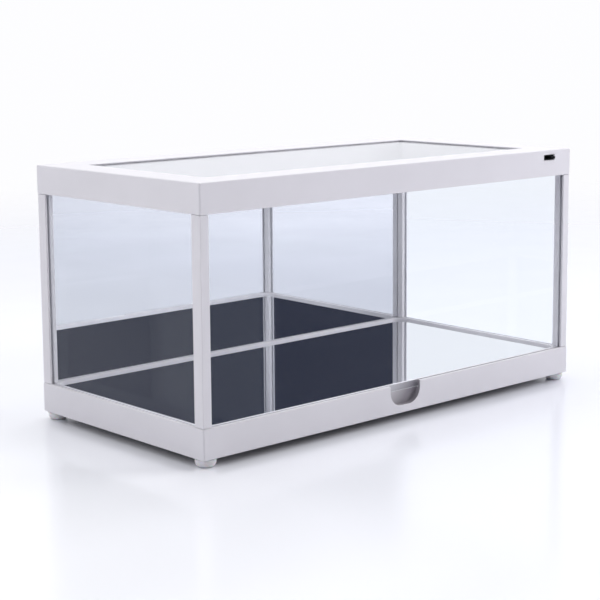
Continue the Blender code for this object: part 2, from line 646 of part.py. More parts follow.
def wire(name, points, finish, body):
    """A round wire through points in case millimetres, its bends rounded by a smooth curve through them."""
    guide = [Vector(p) for p in points]
    line = []
    for i in range(len(guide) - 1):
        before, start = guide[max(i - 1, 0)], guide[i]
        end, after = guide[i + 1], guide[min(i + 2, len(guide) - 1)]
        for step in range(5):
            t = step / 5
            line.append(
                0.5
                * (
                    2 * start
                    + (end - before) * t
                    + (2 * before - 5 * start + 4 * end - after) * t**2
                    + (3 * start - before - 3 * end + after) * t**3
                )
            )
    line.append(guide[-1])
    curve = bpy.data.curves.new(name, "CURVE")
    curve.dimensions = "3D"
    curve.bevel_depth = WIRE_RADIUS * MM
    curve.bevel_resolution = 1
    curve.use_fill_caps = True
    spline = curve.splines.new("POLY")
    spline.points.add(len(line) - 1)
    for point, place_mm in zip(spline.points, line):
        point.co = (*(place_mm * MM), 1.0)
    curve.materials.append(finish)
    item = bpy.data.objects.new(name, curve)
    item.location = CASE_CENTRE * MM - body.location
    item.parent = body
    bpy.context.scene.collection.objects.link(item)


def build_wires(body, insulation):
    run_x = HALF_X - ROOF_POCKET + 1.6
    board_end = BOARD_HALF + GAP
    board_y = HALF_Y - (BOARD_START + BOARD_END) / 2
    board_z = LID_ROOF_UNDERSIDE - GAP - BOARD_THICKNESS / 2
    switch_rear = -HALF_Y + THIN_WALL + 2 * GAP + SWITCH_BODY_DEPTH
    socket_rear = HALF_Y - SOCKET_DEPTH - 2 * GAP
    wire(
        "wire_socket_to_switch",
        [
            (SOCKET_X, socket_rear, SOCKET_Z), (SOCKET_X + 1, socket_rear - 4, SOCKET_Z), (run_x, 64, 165),
            (run_x, 30, 164), (run_x, -25, 164), (run_x, -60, 166), (SWITCH_X, switch_rear + 4, SWITCH_Z),
            (SWITCH_X, switch_rear, SWITCH_Z),
        ],
        insulation,
        body,
    )  # fmt: skip
    wire(
        "wire_switch_to_leds",
        [
            (SWITCH_X - 5, switch_rear, SWITCH_Z), (SWITCH_X - 6, switch_rear + 2.5, SWITCH_Z),
            (board_end + 5, -board_y, board_z - 0.4), (board_end, -board_y, board_z),
        ],
        insulation,
        body,
    )  # fmt: skip
    wire(
        "wire_led_link",
        [
            (-board_end, -board_y, board_z), (-board_end - 5, -board_y, board_z - 1), (-run_x, -62, 166),
            (-run_x, -25, 164), (-run_x, 25, 164), (-run_x, 62, 166), (-board_end - 5, board_y, board_z - 1),
            (-board_end, board_y, board_z),
        ],
        insulation,
        body,
    )  # fmt: skip


def build_roof_pane(body, clear):
    outline = inset_outline(ROOF_POCKET + GAP, 2.0 - GAP)
    add_object("roof_pane", prism_form(outline, ROOF_BOTTOM, ROOF_TOP), clear, body)


def main():
    clear_scene()
    white = material("white_plastic", (0.80, 0.79, 0.82), 0.35)
    clear = material("clear_acrylic", (0.95, 0.97, 0.98), 0.03, alpha=0.2)
    mirror = material("mirror_acrylic", (0.85, 0.86, 0.88), 0.02, metallic=1.0)
    rubber = material("soft_rubber", (0.78, 0.77, 0.80), 0.45)
    steel = material("plated_steel", (0.60, 0.60, 0.62), 0.30, metallic=1.0)
    black = material("black_plastic", (0.02, 0.02, 0.022), 0.40)
    board = material("circuit_board", (0.85, 0.86, 0.84), 0.50)
    diffuser = material("frosted_diffuser", (0.92, 0.93, 0.94), 0.60)
    insulation = material("wire_insulation", (0.05, 0.05, 0.06), 0.45)

    base = body_empty("base_body", 0.0)
    front = body_empty("front_pane_body", BASE_TOP)
    lid = body_empty("lid_body", LID_BOTTOM)
    knob = body_empty("knob_body", SWITCH_Z)

    build_base_frame(base, white)
    build_floor(base, black, mirror)
    build_base_screws(base, steel)
    build_feet(base, rubber)
    build_posts(base, white)
    build_panes(base, front, clear, mirror)
    build_lid_frame(lid, white)
    build_inner_frame(lid, white)
    build_lid_screws(lid, steel)
    build_roof_pane(lid, clear)
    build_lights(lid, board, diffuser)
    build_switch(lid, knob, black)
    build_power_socket(lid, steel)
    build_wires(lid, insulation)


main()
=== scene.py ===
"""Lit display case for a scale model car, in its final finish.

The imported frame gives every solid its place. Most pieces here are finely finished versions of those solids:
moulded edges are rounded, panes get sawn edges, mirrors get a painted back, screws get threads and cross
recesses, and the LED boards, the slide switch and the power socket get their small parts.
Everything is in metres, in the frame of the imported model.
"""

import json
import math

import bmesh
import bpy
from mathutils import Matrix, Vector

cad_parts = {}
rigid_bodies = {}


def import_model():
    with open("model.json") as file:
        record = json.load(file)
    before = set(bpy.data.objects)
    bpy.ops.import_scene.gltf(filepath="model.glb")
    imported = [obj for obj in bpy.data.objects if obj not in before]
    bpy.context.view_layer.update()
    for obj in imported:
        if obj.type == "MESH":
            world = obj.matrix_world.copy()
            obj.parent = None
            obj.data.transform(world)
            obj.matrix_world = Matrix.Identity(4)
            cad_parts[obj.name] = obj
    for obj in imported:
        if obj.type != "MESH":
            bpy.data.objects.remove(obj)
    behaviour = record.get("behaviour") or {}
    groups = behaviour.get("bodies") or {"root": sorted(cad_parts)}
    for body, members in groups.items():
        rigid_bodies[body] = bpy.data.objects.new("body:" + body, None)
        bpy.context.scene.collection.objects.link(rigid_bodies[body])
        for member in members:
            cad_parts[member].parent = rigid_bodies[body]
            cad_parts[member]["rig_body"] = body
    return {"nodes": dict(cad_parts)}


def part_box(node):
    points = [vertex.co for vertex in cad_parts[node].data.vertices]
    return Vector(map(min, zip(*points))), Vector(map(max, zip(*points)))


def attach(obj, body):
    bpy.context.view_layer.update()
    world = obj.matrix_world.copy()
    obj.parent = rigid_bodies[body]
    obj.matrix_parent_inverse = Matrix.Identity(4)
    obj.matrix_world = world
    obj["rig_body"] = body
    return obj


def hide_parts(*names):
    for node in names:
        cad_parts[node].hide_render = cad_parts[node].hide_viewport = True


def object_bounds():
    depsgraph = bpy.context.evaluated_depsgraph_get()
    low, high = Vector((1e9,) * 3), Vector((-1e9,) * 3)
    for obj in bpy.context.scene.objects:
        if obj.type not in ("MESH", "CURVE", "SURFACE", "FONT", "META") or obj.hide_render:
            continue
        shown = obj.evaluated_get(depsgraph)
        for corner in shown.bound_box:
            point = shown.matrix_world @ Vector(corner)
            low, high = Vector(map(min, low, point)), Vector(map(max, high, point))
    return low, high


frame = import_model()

MM = 0.001
CAD_LOW, CAD_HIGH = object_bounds()
CASE_LOW, CASE_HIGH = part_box("base_frame")
CASE_MIDDLE = (CASE_LOW + CASE_HIGH) / 2
CORNERS = ("front_left", "front_right", "back_left", "back_right")

# Camera
CAMERA_PLACE = Vector((-0.7461, -0.8013, 0.2687))
CAMERA_AIM = Vector((-0.0073, 0.0111, 0.1070))
CAMERA_ROLL = math.radians(-0.44)
CAMERA_LENS = 92.3
CAMERA_SHIFT = -0.08

AMBIENT = 0.66  # how strongly the studio's walls light matt surfaces

# Small parts inside the lid
LED_COUNT = 9
LED_PITCH = 30.0 * MM
LED_HEIGHT = 1.0 * MM
WIRE_STRAND = 0.33 * MM
TWIST_PITCH = 14.0 * MM
WIRE_GUIDES = {
    "wire_socket_to_switch": (
        (150, 80.9, 166.5), (151, 76.9, 166.5), (157.5, 64, 165), (157.5, 30, 164), (157.5, -25, 164),
        (157.5, -60, 166), (152.5, -72.9, 171), (152.5, -76.9, 171),
    ),
    "wire_switch_to_leds": (
        (147.5, -76.9, 171), (146.5, -74.4, 171), (139.3, -74.5, 172.2), (134.3, -74.5, 172.6),
    ),
    "wire_led_link": (
        (-134.3, -74.5, 172.6), (-139.3, -74.5, 171.6), (-157.5, -62, 166), (-157.5, -25, 164),
        (-157.5, 25, 164), (-157.5, 62, 166), (-139.3, 74.5, 171.6), (-134.3, 74.5, 172.6),
    ),
}  # in case millimetres, from the case's middle

# The finger notch in the front of the base
NOTCH_HALF = 14.5 * MM
NOTCH_FLOOR = CASE_HIGH.z - 14.7 * MM
NOTCH_BACK = CASE_LOW.y + 4.0 * MM
NOTCH_SHADE_HEIGHT = 14.0 * MM

# Edge rounding of moulded and cut pieces
MOULDED_EDGE = 0.25 * MM
CUT_EDGE = 0.12 * MM
POST_EDGE = 0.35 * MM
SHARP = math.radians(50)
FLAT = math.radians(1)
WELD = 0.002 * MM
ROOF_PANE_RAISE = 0.25 * MM


# ---------------------------------------------------------------- materials


def new_material(name, roughness=0.4, **values):
    """A Principled material. values are its plain socket values, by socket name with _ for a space."""
    made = bpy.data.materials.new(name)
    made.use_nodes = True
    shader = made.node_tree.nodes["Principled BSDF"]
    shader.inputs["Roughness"].default_value = roughness
    for key, value in values.items():
        shader.inputs[key.replace("_", " ")].default_value = value
    return made, made.node_tree, shader


def add_node(tree, kind, inputs=None, **settings):
    item = tree.nodes.new(kind)
    for key, value in settings.items():
        setattr(item, key, value)
    for key, value in (inputs or {}).items():
        if isinstance(value, bpy.types.NodeSocket):
            tree.links.new(value, item.inputs[key])
        else:
            item.inputs[key].default_value = value
    return item


def place_on_object(tree, stretch=(1, 1, 1)):
    """Object coordinates, in metres, scaled along each axis."""
    source = add_node(tree, "ShaderNodeTexCoord").outputs["Object"]
    return add_node(tree, "ShaderNodeMapping", {"Vector": source, "Scale": stretch}).outputs["Vector"]


def noise(tree, scale, detail=3.0, stretch=(1, 1, 1)):
    inputs = {"Vector": place_on_object(tree, stretch), "Scale": scale, "Detail": detail}
    return add_node(tree, "ShaderNodeTexNoise", inputs).outputs["Fac"]


def spread(tree, value, low, high, start=0.3, end=0.7):
    """Maps a texture's value, which mostly lies from start to end, to low to high."""
    inputs = {"Value": value, "From Min": start, "From Max": end, "To Min": low, "To Max": high}
    return add_node(tree, "ShaderNodeMapRange", inputs).outputs["Result"]


def blend_colours(tree, factor, first, second):
    mixer = add_node(tree, "ShaderNodeMix", data_type="RGBA")
    for index, value in ((0, factor), (6, first), (7, second)):
        if isinstance(value, bpy.types.NodeSocket):
            tree.links.new(value, mixer.inputs[index])
        elif index == 0:
            mixer.inputs[index].default_value = value
        else:
            mixer.inputs[index].default_value = (*value, 1.0)
    return mixer.outputs[2]


def bump(tree, height, depth, strength=1.0, under=None):
    inputs = {"Height": height, "Distance": depth, "Strength": strength}
    if under is not None:
        inputs["Normal"] = under
    return add_node(tree, "ShaderNodeBump", inputs).outputs["Normal"]


def connect(tree, shader, colour=None, roughness=None, normal=None):
    for key, socket in (("Base Color", colour), ("Roughness", roughness), ("Normal", normal)):
        if socket is not None:
            tree.links.new(socket, shader.inputs[key])


def moulded_plastic(name, colour, roughness, variation=0.02, grain=0.012 * MM, shine=0.5):
    """Injection-moulded plastic: a fine satin grain, faint cloudy shading and polished edges."""
    made, tree, shader = new_material(name, roughness, IOR=1.48, Specular_IOR_Level=shine)
    light = tuple(min(1.0, c * (1 + variation)) for c in colour)
    dark = tuple(c * (1 - variation) for c in colour)
    edge = tuple(min(1.0, c * 1.05) for c in colour)
    clouds = spread(tree, noise(tree, 22.0, 4.0), 0.0, 1.0)
    body = blend_colours(tree, clouds, dark, light)
    on_edge = add_node(tree, "ShaderNodeAttribute", attribute_name="edge").outputs["Fac"]
    worn = add_node(tree, "ShaderNodeMath", {0: on_edge, 1: 0.6}, operation="MULTIPLY").outputs[0]
    satin = spread(tree, noise(tree, 60.0, 5.0), roughness - 0.06, roughness + 0.06)
    smoother = {0: worn, 1: -0.14, 2: satin}
    polished = add_node(tree, "ShaderNodeMath", smoother, operation="MULTIPLY_ADD").outputs[0]
    grainy = bump(tree, noise(tree, 1500.0, 2.0), grain)
    rippled = bump(tree, noise(tree, 16.0, 1.0), 0.05 * MM, 0.5, grainy)
    connect(tree, shader, blend_colours(tree, worn, body, edge), polished, rippled)
    return made


def recess_plastic_painted_shade():
    """The white plastic inside the finger notch: matt, with shade painted in, darker to the lower right.

    The notch is too shallow to give that much shade of its own.
    """
    made, tree, shader = new_material("recess_plastic_painted_shade", 0.6, IOR=1.48, Specular_IOR_Level=0.3)
    place = add_node(tree, "ShaderNodeSeparateXYZ", {0: place_on_object(tree)})
    # Painted shade: the value named depth grows towards the notch's floor and its right side, and darkens the
    # colour.
    lower = spread(tree, place.outputs["Z"], 0.0, -0.5, NOTCH_FLOOR + NOTCH_SHADE_HEIGHT, NOTCH_FLOOR)
    right = spread(tree, place.outputs["X"], 0.0, 1.1, -0.8 * NOTCH_HALF, NOTCH_HALF)
    depth = add_node(tree, "ShaderNodeMath", {0: right, 1: lower}, operation="SUBTRACT", use_clamp=True)
    shade = blend_colours(tree, depth.outputs[0], (0.66, 0.64, 0.665), (0.30, 0.28, 0.31))
    erosion = noise(tree, 3200.0, 2.0)
    connect(tree, shader, shade, spread(tree, erosion, 0.5, 0.72), bump(tree, erosion, 0.02 * MM))
    return made


def clear_acrylic():
    """Cast acrylic sheet, with faint wipe marks. Its index is below acrylic's, to keep its glare weak."""
    made, tree, shader = new_material("clear_acrylic", 0.0, IOR=1.22, Transmission_Weight=1.0)
    haze = spread(tree, noise(tree, 9.0, 6.0, (1.0, 1.0, 3.0)), 0.0, 0.012, 0.5, 0.8)
    tint = blend_colours(tree, noise(tree, 5.0), (0.960, 0.980, 1.0), (0.978, 0.990, 1.0))
    connect(tree, shader, tint, haze)
    return made


def sawn_acrylic():
    """The cut edge of a clear sheet: frosted by the saw, and pale with the light that the sheet carries."""
    made, tree, shader = new_material("sawn_acrylic", 0.4, IOR=1.49, Transmission_Weight=0.35)
    marks = noise(tree, 2600.0, 2.0, (1.0, 1.0, 1.0))
    cloudy = spread(tree, noise(tree, 90.0), 0.0, 1.0)
    tint = blend_colours(tree, cloudy, (0.82, 0.86, 0.90), (0.92, 0.94, 0.97))
    connect(tree, shader, tint, spread(tree, marks, 0.3, 0.5), bump(tree, marks, 0.02 * MM))
    return made


def mirror_face():
    """Mirrored acrylic seen from its bright side: very slightly wavy, as sheet mirrors are."""
    made, tree, shader = new_material("mirror_face", 0.01, Metallic=1.0)
    tint = blend_colours(tree, noise(tree, 4.0), (0.93, 0.94, 0.955), (0.95, 0.955, 0.965))
    smooth = spread(tree, noise(tree, 12.0, 5.0), 0.004, 0.018)
    connect(tree, shader, tint, smooth, bump(tree, noise(tree, 7.0, 0.0), 0.03 * MM, 0.6))
    return made


def mirror_backing():
    """The grey protective paint on a mirror's back, with an orange-peel skin and small specks."""
    made, tree, shader = new_material("mirror_backing", 0.5, IOR=1.5)
    cloudy = spread(tree, noise(tree, 30.0, 5.0), 0.0, 1.0)
    patches = blend_colours(tree, cloudy, (0.33, 0.34, 0.36), (0.38, 0.39, 0.41))
    specks = spread(tree, noise(tree, 700.0, 2.0), 0.0, 1.0, 0.68, 0.78)
    peel = bump(tree, noise(tree, 420.0, 2.0), 0.03 * MM)
    colour = blend_colours(tree, specks, patches, (0.52, 0.53, 0.55))
    connect(tree, shader, colour, spread(tree, noise(tree, 55.0), 0.42, 0.6), peel)
    return made


def soft_rubber():
    """Milky, slightly see-through rubber of the feet, darker where it meets the table."""
    made, tree, shader = new_material(
        "soft_rubber", 0.5, IOR=1.45, Subsurface_Weight=0.35, Subsurface_Scale=0.004, Sheen_Weight=0.15
    )
    height = add_node(tree, "ShaderNodeSeparateXYZ", {0: place_on_object(tree)}).outputs["Z"]
    # Darker over the lowest 0.7 mm of each foot, where it meets the table.
    darker_near_table = spread(tree, height, 1.0, 0.0, 0.0, 0.7 * MM)
    mottled = blend_colours(tree, noise(tree, 300.0, 4.0), (0.76, 0.745, 0.765), (0.84, 0.82, 0.84))
    colour = blend_colours(tree, darker_near_table, mottled, (0.60, 0.595, 0.61))
    roughness = spread(tree, noise(tree, 500.0), 0.42, 0.62)
    connect(tree, shader, colour, roughness, bump(tree, noise(tree, 1800.0), 0.02 * MM))
    return made


def plated_steel(name="plated_steel", light=(0.66, 0.66, 0.68), dark=(0.50, 0.50, 0.52)):
    """Zinc-plated steel with a turned grain."""
    made, tree, shader = new_material(name, 0.3, Metallic=1.0)
    lines = noise(tree, 900.0, 3.0, (1.0, 1.0, 6.0))
    colour = blend_colours(tree, spread(tree, noise(tree, 250.0, 4.0), 0.0, 1.0), dark, light)
    connect(tree, shader, colour, spread(tree, lines, 0.22, 0.42), bump(tree, lines, 0.01 * MM))
    return made


def frosted_diffuser():
    """Opal acrylic over the LEDs."""
    made, tree, shader = new_material("frosted_diffuser", 0.55, IOR=1.49, Transmission_Weight=0.45)
    tint = blend_colours(tree, noise(tree, 60.0), (0.88, 0.885, 0.90), (0.94, 0.945, 0.955))
    frost = noise(tree, 2200.0, 2.0)
    connect(tree, shader, tint, spread(tree, frost, 0.5, 0.65), bump(tree, frost, 0.01 * MM))
    return made


def circuit_board():
    """White solder mask over the weave of the board."""
    made, tree, shader = new_material("circuit_board", 0.4, IOR=1.5)
    weave = add_node(
        tree, "ShaderNodeTexWave", {"Vector": place_on_object(tree), "Scale": 900.0, "Distortion": 0.6}
    ).outputs["Fac"]
    cloudy = spread(tree, noise(tree, 120.0), 0.0, 1.0)
    colour = blend_colours(tree, cloudy, (0.80, 0.81, 0.80), (0.87, 0.875, 0.86))
    roughness = spread(tree, noise(tree, 200.0), 0.34, 0.46)
    connect(tree, shader, colour, roughness, bump(tree, weave, 0.004 * MM))
    return made


def phosphor():
    """The yellow gel in an LED package."""
    made, tree, shader = new_material(
        "led_phosphor", 0.25, IOR=1.45, Subsurface_Weight=0.2, Subsurface_Scale=0.0005
    )
    colour = blend_colours(tree, noise(tree, 2500.0, 2.0), (0.83, 0.70, 0.22), (0.93, 0.83, 0.38))
    connect(tree, shader, colour, spread(tree, noise(tree, 3000.0), 0.2, 0.32))
    return made


def make_materials():
    return {
        "white": moulded_plastic("white_plastic", (0.800, 0.780, 0.818), 0.34),
        "recess": recess_plastic_painted_shade(),
        "black": moulded_plastic("black_plastic", (0.006, 0.006, 0.008), 0.42, 0.12, 0.02 * MM, 0.2),
        "cream": moulded_plastic("led_package", (0.84, 0.83, 0.78), 0.4),
        "ceramic": moulded_plastic("resistor_body", (0.06, 0.06, 0.07), 0.35, 0.1),
        "red": moulded_plastic("red_insulation", (0.42, 0.03, 0.025), 0.42, 0.05),
        "clear": clear_acrylic(),
        "sawn": sawn_acrylic(),
        "mirror": mirror_face(),
        "backing": mirror_backing(),
        "rubber": soft_rubber(),
        "steel": plated_steel(),
        "gold": plated_steel("gold_contact", (0.90, 0.66, 0.30), (0.78, 0.55, 0.24)),
        "diffuser": frosted_diffuser(),
        "board": circuit_board(),
        "phosphor": phosphor(),
        "insulation": moulded_plastic("wire_insulation", (0.035, 0.035, 0.04), 0.42, 0.1),
    }


# ---------------------------------------------------------------- forms


def box_form(low, high, form=None):
    form = form or bmesh.new()
    low, high = Vector(low), Vector(high)
    size = Matrix.Diagonal((*(high - low), 1.0))
    bmesh.ops.create_cube(form, size=1.0, matrix=Matrix.Translation((low + high) / 2) @ size)
    return form


def stack_form(loops, form=None):
    """A closed solid through outlines that all have the same number of points."""
    form = form or bmesh.new()
    rings = [[form.verts.new(point) for point in loop] for loop in loops]
    for lower, upper in zip(rings, rings[1:]):
        for i in range(len(lower)):
            j = (i + 1) % len(lower)
            form.faces.new((lower[i], lower[j], upper[j], upper[i]))
    form.faces.new(reversed(rings[0]))
    form.faces.new(rings[-1])
    return form


def ring(centre, radius, z, steps):
    """Points at even angles round a vertical axis through centre."""
    turns = [2 * math.pi * i / steps for i in range(steps)]
    return [(centre.x + radius * math.cos(a), centre.y + radius * math.sin(a), z) for a in turns]


def turned_form(profile, centre, steps=48, form=None):
    """A round solid about a vertical axis through centre. profile is (radius, height), bottom to top."""
    return stack_form([ring(centre, r, z, steps) for r, z in profile], form)


def rounded_rectangle(half_x, half_y, radius, steps=8):
    points = []
    for quarter, (sx, sy) in enumerate(((1, 1), (-1, 1), (-1, -1), (1, -1))):
        for i in range(steps + 1):
            a = math.pi / 2 * (quarter + i / steps)
            x = sx * (half_x - radius) + radius * math.cos(a)
            points.append((x, sy * (half_y - radius) + radius * math.sin(a)))
    return points


def node_form(name):
    """A CAD node's solid with its triangles merged into whole faces."""
    form = bmesh.new()
    form.from_mesh(frame["nodes"][name].data)
    bmesh.ops.remove_doubles(form, verts=form.verts, dist=WELD)
    bmesh.ops.dissolve_limit(form, angle_limit=FLAT, verts=form.verts, edges=form.edges)
    bmesh.ops.connect_verts_concave(form, faces=form.faces)
    return form


def is_upright(edge):
    along = edge.verts[1].co - edge.verts[0].co
    return abs(along.z) > 0.9 * along.length


def round_edges(form, width, segments=2, upright_only=False):
    """Rounds every sharp edge, or only the upright ones, and marks the rounded faces for the material."""
    mark = form.faces.layers.float.get("edge") or form.faces.layers.float.new("edge")
    sharp = [e for e in form.edges if e.is_manifold and e.calc_face_angle() > SHARP]
    if upright_only:
        sharp = [e for e in sharp if is_upright(e)]
    made = bmesh.ops.bevel(
        form, geom=sharp, offset=width, offset_type="OFFSET", segments=segments, profile=0.5, affect="EDGES"
    )
    for face in made["faces"]:
        face[mark] = 1.0


def add_piece(name, form, materials, body, replaced=()):
    """Links a form as a piece of the object that moves with a body and stands for CAD nodes."""
    bmesh.ops.recalc_face_normals(form, faces=form.faces)
    mesh = bpy.data.meshes.new(name)
    form.to_mesh(mesh)
    form.free()
    for material in materials:
        mesh.materials.append(material)
    mesh.shade_smooth()
    mesh.set_sharp_from_angle(angle=SHARP)
    piece = bpy.data.objects.new(name, mesh)
    bpy.context.scene.collection.objects.link(piece)
    even = piece.modifiers.new("even_shading", "WEIGHTED_NORMAL")
    even.keep_sharp = True
    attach(piece, body)
    if replaced:
        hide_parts(*replaced)
    return piece


def body_of(node):
    return frame["nodes"][node]["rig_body"]


def finished(node, name, material, width=MOULDED_EDGE, segments=2, upright_only=False):
    """The node's own solid with its edges rounded."""
    form = node_form(node)
    round_edges(form, width, segments, upright_only)
    return add_piece(name, form, [material], body_of(node), [node])


def tube_form(line, radius, steps=14, form=None):
    """A round tube along a line of points, closed at both ends."""
    loops = []
    side = Vector((0.31, 0.17, 0.93))
    for i, point in enumerate(line):
        along = (line[min(i + 1, len(line) - 1)] - line[max(i - 1, 0)]).normalized()
        side = (side - along * side.dot(along)).normalized()
        other = along.cross(side)
        turns = [2 * math.pi * k / steps for k in range(steps)]
        loops.append([point + radius * (side * math.cos(a) + other * math.sin(a)) for a in turns])
    return stack_form(loops, form)


def smooth_line(guide, steps=12):
    """A smooth curve through the guide points."""
    line = []
    for i in range(len(guide) - 1):
        before, start = guide[max(i - 1, 0)], guide[i]
        end, after = guide[i + 1], guide[min(i + 2, len(guide) - 1)]
        for step in range(steps):
            t = step / steps
            slope = (end - before) * t
            curve = (2 * before - 5 * start + 4 * end - after) * t**2
            line.append(0.5 * (2 * start + slope + curve + (3 * start - before - 3 * end + after) * t**3))
    line.append(guide[-1])
    return line


def cross_loop(centre, arm, half_width, z, steps):
    """The outline of a cross recess, as points at even angles."""
    points = []
    for i in range(steps):
        a = 2 * math.pi * i / steps
        c, s = max(abs(math.cos(a)), 1e-6), max(abs(math.sin(a)), 1e-6)
        r = max(min(arm / c, half_width / s), min(half_width / c, arm / s))
        points.append((centre.x + r * math.cos(a), centre.y + r * math.sin(a), z))
    return points


# ---------------------------------------------------------------- pieces


def make_base_frame(materials):
    """The base ring. The inside of its finger notch gets the matt finish with painted shade, darker to the
    lower right.
    """
    form = node_form("base_frame")
    round_edges(form, MOULDED_EDGE)
    # Faces inside the finger notch get the recess material, which has painted shade.
    for face in form.faces:
        middle = face.calc_center_median()
        beside, below = abs(middle.x) > NOTCH_HALF + 0.1 * MM, middle.z < NOTCH_FLOOR - 0.1 * MM
        behind, before = middle.y > NOTCH_BACK + 0.1 * MM, middle.y < CASE_LOW.y + 0.3 * MM
        if not (beside or below or behind or before) and middle.z < CASE_HIGH.z - 0.4 * MM:
            face.material_index = 1
    finishes = [materials["white"], materials["recess"]]
    add_piece("moulded_base_frame", form, finishes, "base", ["base_frame"])


def make_frames(materials):
    white = materials["white"]
    make_base_frame(materials)
    finished("lid_frame", "moulded_lid_frame", white)
    finished("lid_inner_frame", "moulded_inner_frame", white)
    # The base plate's black is partly a guess at its real colour and partly painted shade, to deepen the
    # shadow under the base.
    finished("base_plate", "moulded_base_plate", materials["black"])
    for corner in CORNERS:
        name = f"moulded_post_{corner}"
        finished(f"post_{corner}", name, white, POST_EDGE, 3, upright_only=True)


def make_sheet(node, name, axis, materials, back_side=0):
    """A pane or mirror cut from sheet. Its two faces get the first material and its edges the second.

    axis is the one that runs through the sheet. With a back_side of 1 or -1, the face on that side of it
    gets the third material. The roof pane is a little thicker than its solid, so that no gap shows between
    it and the lid's lip.
    """
    form = node_form(node)
    if node == "roof_pane":
        top = max(vert.co.z for vert in form.verts)
        for vert in form.verts:
            if vert.co.z > top - WELD:
                vert.co.z += ROOF_PANE_RAISE
    round_edges(form, CUT_EDGE)
    form.normal_update()
    for face in form.faces:
        across = face.normal[axis]
        if abs(across) < 0.9:
            face.material_index = 1
        elif across * back_side > 0:
            face.material_index = 2
    return add_piece(name, form, materials, body_of(node), [node])


def make_sheets(materials):
    clear = [materials["clear"], materials["sawn"]]
    for node, axis in (("left_pane", 0), ("right_pane", 0), ("front_pane", 1), ("roof_pane", 2)):
        pane = make_sheet(node, f"acrylic_{node}", axis, clear)
        pane.visible_shadow = False
    mirrored = [materials["mirror"], materials["sawn"], materials["backing"]]
    make_sheet("back_mirror", "mirrored_back_panel", 1, mirrored, 1)
    make_sheet("floor_mirror", "mirrored_floor_panel", 2, mirrored, -1)


def make_feet(materials):
    """Round push-in feet with a soft shoulder and a shallow dimple where they stand."""
    for corner in CORNERS:
        node = f"foot_{corner}"
        low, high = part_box(node)
        centre, radius = (low + high) / 2, (high.x - low.x) / 2
        flat, stem = 0.59 * radius, 0.324 * radius
        flange_top = CASE_LOW.z - 0.3 * MM
        shoulder = flange_top - 1.0 * MM
        profile = [(0.30 * flat, 0.5 * MM), (0.62 * flat, 0.45 * MM), (0.78 * flat, 0.0), (flat, 0.0)]
        for i in range(1, 11):
            a = math.pi / 2 * i / 10
            profile.append((flat + (radius - flat) * math.sin(a), shoulder * (1 - math.cos(a))))
        lip = 0.25 * MM
        profile += [
            (radius, flange_top - lip), (radius - lip, flange_top), (stem, flange_top),
            (stem, high.z - 2 * lip), (stem - 2 * lip, high.z),
        ]
        form = turned_form(profile, centre)
        add_piece(f"rubber_{node}", form, [materials["rubber"]], "base", [node])


def make_screw(name, steel):
    """A pan-head screw driven from below, with a cross recess, a rolled thread and a blunt point."""
    low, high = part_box(name)
    centre, head_radius = (low + high) / 2, (high.x - low.x) / 2
    post_screw = "post" in name
    head, shank, steps = 1.2 * MM, (0.7 if post_screw else 0.8) * MM, 24
    root, pitch = 0.80 * shank, 0.55 * MM
    loops = [
        cross_loop(centre, 0.36 * head_radius, 0.07 * head_radius, low.z + 0.75 * MM, steps),
        cross_loop(centre, 0.55 * head_radius, 0.13 * head_radius, low.z, steps),
    ]
    profile = [(0.72 * head_radius, low.z), (0.88 * head_radius, low.z + 0.12 * MM)]
    profile += [(0.97 * head_radius, low.z + 0.32 * MM), (head_radius, low.z + 0.6 * MM)]
    profile += [(head_radius, low.z + head - 0.1 * MM), (0.96 * head_radius, low.z + head)]
    profile += [(shank, low.z + head), (shank, low.z + head + 0.5 * MM)]
    loops += [ring(centre, r, z, steps) for r, z in profile]
    turns = [2 * math.pi * i / steps for i in range(steps)]
    start, end = low.z + head + 0.6 * MM, high.z
    count = round((end - start) / (pitch / 5))
    for i in range(count + 1):
        z = start + (end - start) * i / count
        taper = min(1.0, 0.35 + (end - z) / (1.2 * MM))
        loop = []
        for a in turns:
            phase = (z / pitch - a / (2 * math.pi)) % 1.0
            r = taper * (root + (shank - root) * (1 - abs(2 * phase - 1)))
            loop.append((centre.x + r * math.cos(a), centre.y + r * math.sin(a), z))
        loops.append(loop)
    add_piece(f"threaded_{name}", stack_form(loops), [steel], body_of(name), [name])


def make_screws(materials):
    for name in sorted(frame["nodes"]):
        if "screw" in name:
            make_screw(name, materials["steel"])


def outline_on_face(centre, half_x, half_z, radius, y, steps=6):
    """A rounded rectangle in an upright plane at y."""
    return [(centre.x + x, y, centre.z + z) for x, z in rounded_rectangle(half_x, half_z, radius, steps)]


